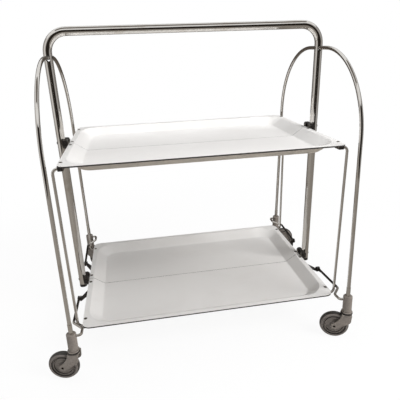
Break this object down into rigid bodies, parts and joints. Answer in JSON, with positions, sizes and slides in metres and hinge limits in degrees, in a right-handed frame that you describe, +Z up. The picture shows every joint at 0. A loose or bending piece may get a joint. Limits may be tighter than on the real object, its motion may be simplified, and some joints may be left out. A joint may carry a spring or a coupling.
{
  "type": "folding serving trolley",
  "caption": "Folding serving trolley: tube handle frame, arched legs on swivel casters, and dished trays split along the middle whose halves fold up while the legs draw in.",
  "frame": {"origin": "on the floor, under the middle of the trolley", "axes": "+X along the handle to the right, -Y the front, +Z up"},
  "size_m": [0.7478, 0.5256, 0.723],
  "materials": {
    "chrome": "bright plated tube, lightly worn",
    "tray_laminate": "pressed laminate, satin white face, black core at the edge, beige back",
    "black_steel": "black satin",
    "black_plastic": "matt black",
    "dark_rivet": "dark bronzed steel",
    "grey_plastic": "moulded grey",
    "wheel_grey": "moulded grey, rubbed"
  },
  "bodies": {
    "frame": {"handle_frame": "chrome", "upright_end_plugs": "black_plastic", "leg_pivot_pins": "dark_rivet", "bracket_rivets": "dark_rivet", "upper_hinge_brackets": "black_steel", "upper_hinge_pins": "dark_rivet", "lower_hinge_brackets": "black_steel", "lower_hinge_pins": "dark_rivet"},
    "upper_front": {"upper_front_tray": "tray_laminate", "upper_front_hinge_leaves": "black_steel", "upper_front_corner_blocks": "black_plastic", "upper_front_rivets": "dark_rivet"},
    "lower_front": {"lower_front_tray": "tray_laminate", "lower_front_hinge_arms": "black_steel", "lower_front_corner_blocks": "black_plastic", "lower_front_rivets": "dark_rivet", "lower_front_knee_rivets": "dark_rivet"},
    "rod_front_left": {"front_left_rod": "chrome"},
    "link_front_left": {"front_left_link": "chrome"},
    "leg_front_left": {"front_left_leg": "chrome", "front_left_socket": "grey_plastic"},
    "caster_front_left": {"front_left_fork": "grey_plastic", "front_left_collar": "black_plastic", "front_left_axle": "dark_rivet"},
    "wheel_front_left": {"front_left_wheel": "wheel_grey"},
    "rod_front_right": {"front_right_rod": "chrome"},
    "link_front_right": {"front_right_link": "chrome"},
    "leg_front_right": {"front_right_leg": "chrome", "front_right_socket": "grey_plastic"},
    "caster_front_right": {"front_right_fork": "grey_plastic", "front_right_collar": "black_plastic", "front_right_axle": "dark_rivet"},
    "wheel_front_right": {"front_right_wheel": "wheel_grey"},
    "upper_back": {"upper_back_tray": "tray_laminate", "upper_back_hinge_leaves": "black_steel", "upper_back_corner_blocks": "black_plastic", "upper_back_rivets": "dark_rivet"},
    "lower_back": {"lower_back_tray": "tray_laminate", "lower_back_hinge_arms": "black_steel", "lower_back_corner_blocks": "black_plastic", "lower_back_rivets": "dark_rivet", "lower_back_knee_rivets": "dark_rivet"},
    "rod_back_left": {"back_left_rod": "chrome"},
    "link_back_left": {"back_left_link": "chrome"},
    "leg_back_left": {"back_left_leg": "chrome", "back_left_socket": "grey_plastic"},
    "caster_back_left": {"back_left_fork": "grey_plastic", "back_left_collar": "black_plastic", "back_left_axle": "dark_rivet"},
    "wheel_back_left": {"back_left_wheel": "wheel_grey"},
    "rod_back_right": {"back_right_rod": "chrome"},
    "link_back_right": {"back_right_link": "chrome"},
    "leg_back_right": {"back_right_leg": "chrome", "back_right_socket": "grey_plastic"},
    "caster_back_right": {"back_right_fork": "grey_plastic", "back_right_collar": "black_plastic", "back_right_axle": "dark_rivet"},
    "wheel_back_right": {"back_right_wheel": "wheel_grey"}
  },
  "joints": [
    {"name": "front_fold", "type": "hinge", "parent": "frame", "child": "upper_front", "pos_m": [0, -0.014, 0.4735], "axis": [-1, 0, 0], "range_deg": [0, 85]},
    {"name": "lower_front_fold", "type": "hinge", "parent": "frame", "child": "lower_front", "pos_m": [0, -0.014, 0.1035], "axis": [-1, 0, 0], "range_deg": [0, 85]},
    {"name": "rod_front_left_pivot", "type": "hinge", "parent": "upper_front", "child": "rod_front_left", "pos_m": [-0.309, -0.189, 0.4595], "axis": [-1, 0, 0], "range_deg": [-85, 0]},
    {"name": "link_front_left_knee", "type": "hinge", "parent": "lower_front", "child": "link_front_left", "pos_m": [-0.3165, -0.088, 0.097], "axis": [-1, 0, 0], "range_deg": [-129.51, 0]},
    {"name": "leg_front_left_pivot", "type": "hinge", "parent": "frame", "child": "leg_front_left", "pos_m": [-0.315, 0, 0.6605], "axis": [-1, 0, 0], "range_deg": [-9.89, 0]},
    {"name": "caster_front_left_swivel", "type": "hinge", "parent": "leg_front_left", "child": "caster_front_left", "pos_m": [-0.315, -0.24708, 0.06881], "axis": [0, 0, 1], "continuous": true},
    {"name": "wheel_front_left_spin", "type": "hinge", "parent": "caster_front_left", "child": "wheel_front_left", "pos_m": [-0.34043, -0.24168, 0.034], "axis": [0.2079, 0.9781, 0], "continuous": true},
    {"name": "rod_front_right_pivot", "type": "hinge", "parent": "upper_front", "child": "rod_front_right", "pos_m": [0.309, -0.189, 0.4595], "axis": [-1, 0, 0], "range_deg": [-85, 0]},
    {"name": "link_front_right_knee", "type": "hinge", "parent": "lower_front", "child": "link_front_right", "pos_m": [0.3165, -0.088, 0.097], "axis": [-1, 0, 0], "range_deg": [-129.51, 0]},
    {"name": "leg_front_right_pivot", "type": "hinge", "parent": "frame", "child": "leg_front_right", "pos_m": [0.315, 0, 0.6605], "axis": [-1, 0, 0], "range_deg": [-9.89, 0]},
    {"name": "caster_front_right_swivel", "type": "hinge", "parent": "leg_front_right", "child": "caster_front_right", "pos_m": [0.315, -0.24708, 0.06881], "axis": [0, 0, 1], "continuous": true},
    {"name": "wheel_front_right_spin", "type": "hinge", "parent": "caster_front_right", "child": "wheel_front_right", "pos_m": [0.29125, -0.23651, 0.034], "axis": [0.4067, 0.9135, 0], "continuous": true},
    {"name": "back_fold", "type": "hinge", "parent": "frame", "child": "upper_back", "pos_m": [0, 0.014, 0.4735], "axis": [1, 0, 0], "range_deg": [0, 85]},
    {"name": "lower_back_fold", "type": "hinge", "parent": "frame", "child": "lower_back", "pos_m": [0, 0.014, 0.1035], "axis": [1, 0, 0], "range_deg": [0, 85]},
    {"name": "rod_back_left_pivot", "type": "hinge", "parent": "upper_back", "child": "rod_back_left", "pos_m": [-0.309, 0.189, 0.4595], "axis": [1, 0, 0], "range_deg": [-85, 0]},
    {"name": "link_back_left_knee", "type": "hinge", "parent": "lower_back", "child": "link_back_left", "pos_m": [-0.3165, 0.088, 0.097], "axis": [1, 0, 0], "range_deg": [-129.51, 0]},
    {"name": "leg_back_left_pivot", "type": "hinge", "parent": "frame", "child": "leg_back_left", "pos_m": [-0.315, 0, 0.6605], "axis": [1, 0, 0], "range_deg": [-9.89, 0]},
    {"name": "caster_back_left_swivel", "type": "hinge", "parent": "leg_back_left", "child": "caster_back_left", "pos_m": [-0.315, 0.24708, 0.06881], "axis": [0, 0, 1], "continuous": true},
    {"name": "wheel_back_left_spin", "type": "hinge", "parent": "caster_back_left", "child": "wheel_back_left", "pos_m": [-0.29125, 0.23651, 0.034], "axis": [-0.4067, -0.9135, 0], "continuous": true},
    {"name": "rod_back_right_pivot", "type": "hinge", "parent": "upper_back", "child": "rod_back_right", "pos_m": [0.309, 0.189, 0.4595], "axis": [1, 0, 0], "range_deg": [-85, 0]},
    {"name": "link_back_right_knee", "type": "hinge", "parent": "lower_back", "child": "link_back_right", "pos_m": [0.3165, 0.088, 0.097], "axis": [1, 0, 0], "range_deg": [-129.51, 0]},
    {"name": "leg_back_right_pivot", "type": "hinge", "parent": "frame", "child": "leg_back_right", "pos_m": [0.315, 0, 0.6605], "axis": [1, 0, 0], "range_deg": [-9.89, 0]},
    {"name": "caster_back_right_swivel", "type": "hinge", "parent": "leg_back_right", "child": "caster_back_right", "pos_m": [0.315, 0.24708, 0.06881], "axis": [0, 0, 1], "continuous": true},
    {"name": "wheel_back_right_spin", "type": "hinge", "parent": "caster_back_right", "child": "wheel_back_right", "pos_m": [0.34043, 0.24168, 0.034], "axis": [-0.2079, -0.9781, 0], "continuous": true}
  ],
  "couplings": [
    {"joint": "lower_front_fold", "follows": "front_fold", "ratio": 1},
    {"joint": "rod_front_left_pivot", "follows": "front_fold", "ratio": -1},
    {"joint": "link_front_left_knee", "follows": "front_fold", "ratio": -1.5236},
    {"joint": "leg_front_left_pivot", "follows": "front_fold", "ratio": -0.11632},
    {"joint": "rod_front_right_pivot", "follows": "front_fold", "ratio": -1},
    {"joint": "link_front_right_knee", "follows": "front_fold", "ratio": -1.5236},
    {"joint": "leg_front_right_pivot", "follows": "front_fold", "ratio": -0.11632},
    {"joint": "lower_back_fold", "follows": "back_fold", "ratio": 1},
    {"joint": "rod_back_left_pivot", "follows": "back_fold", "ratio": -1},
    {"joint": "link_back_left_knee", "follows": "back_fold", "ratio": -1.5236},
    {"joint": "leg_back_left_pivot", "follows": "back_fold", "ratio": -0.11632},
    {"joint": "rod_back_right_pivot", "follows": "back_fold", "ratio": -1},
    {"joint": "link_back_right_knee", "follows": "back_fold", "ratio": -1.5236},
    {"joint": "leg_back_right_pivot", "follows": "back_fold", "ratio": -0.11632}
  ]
}
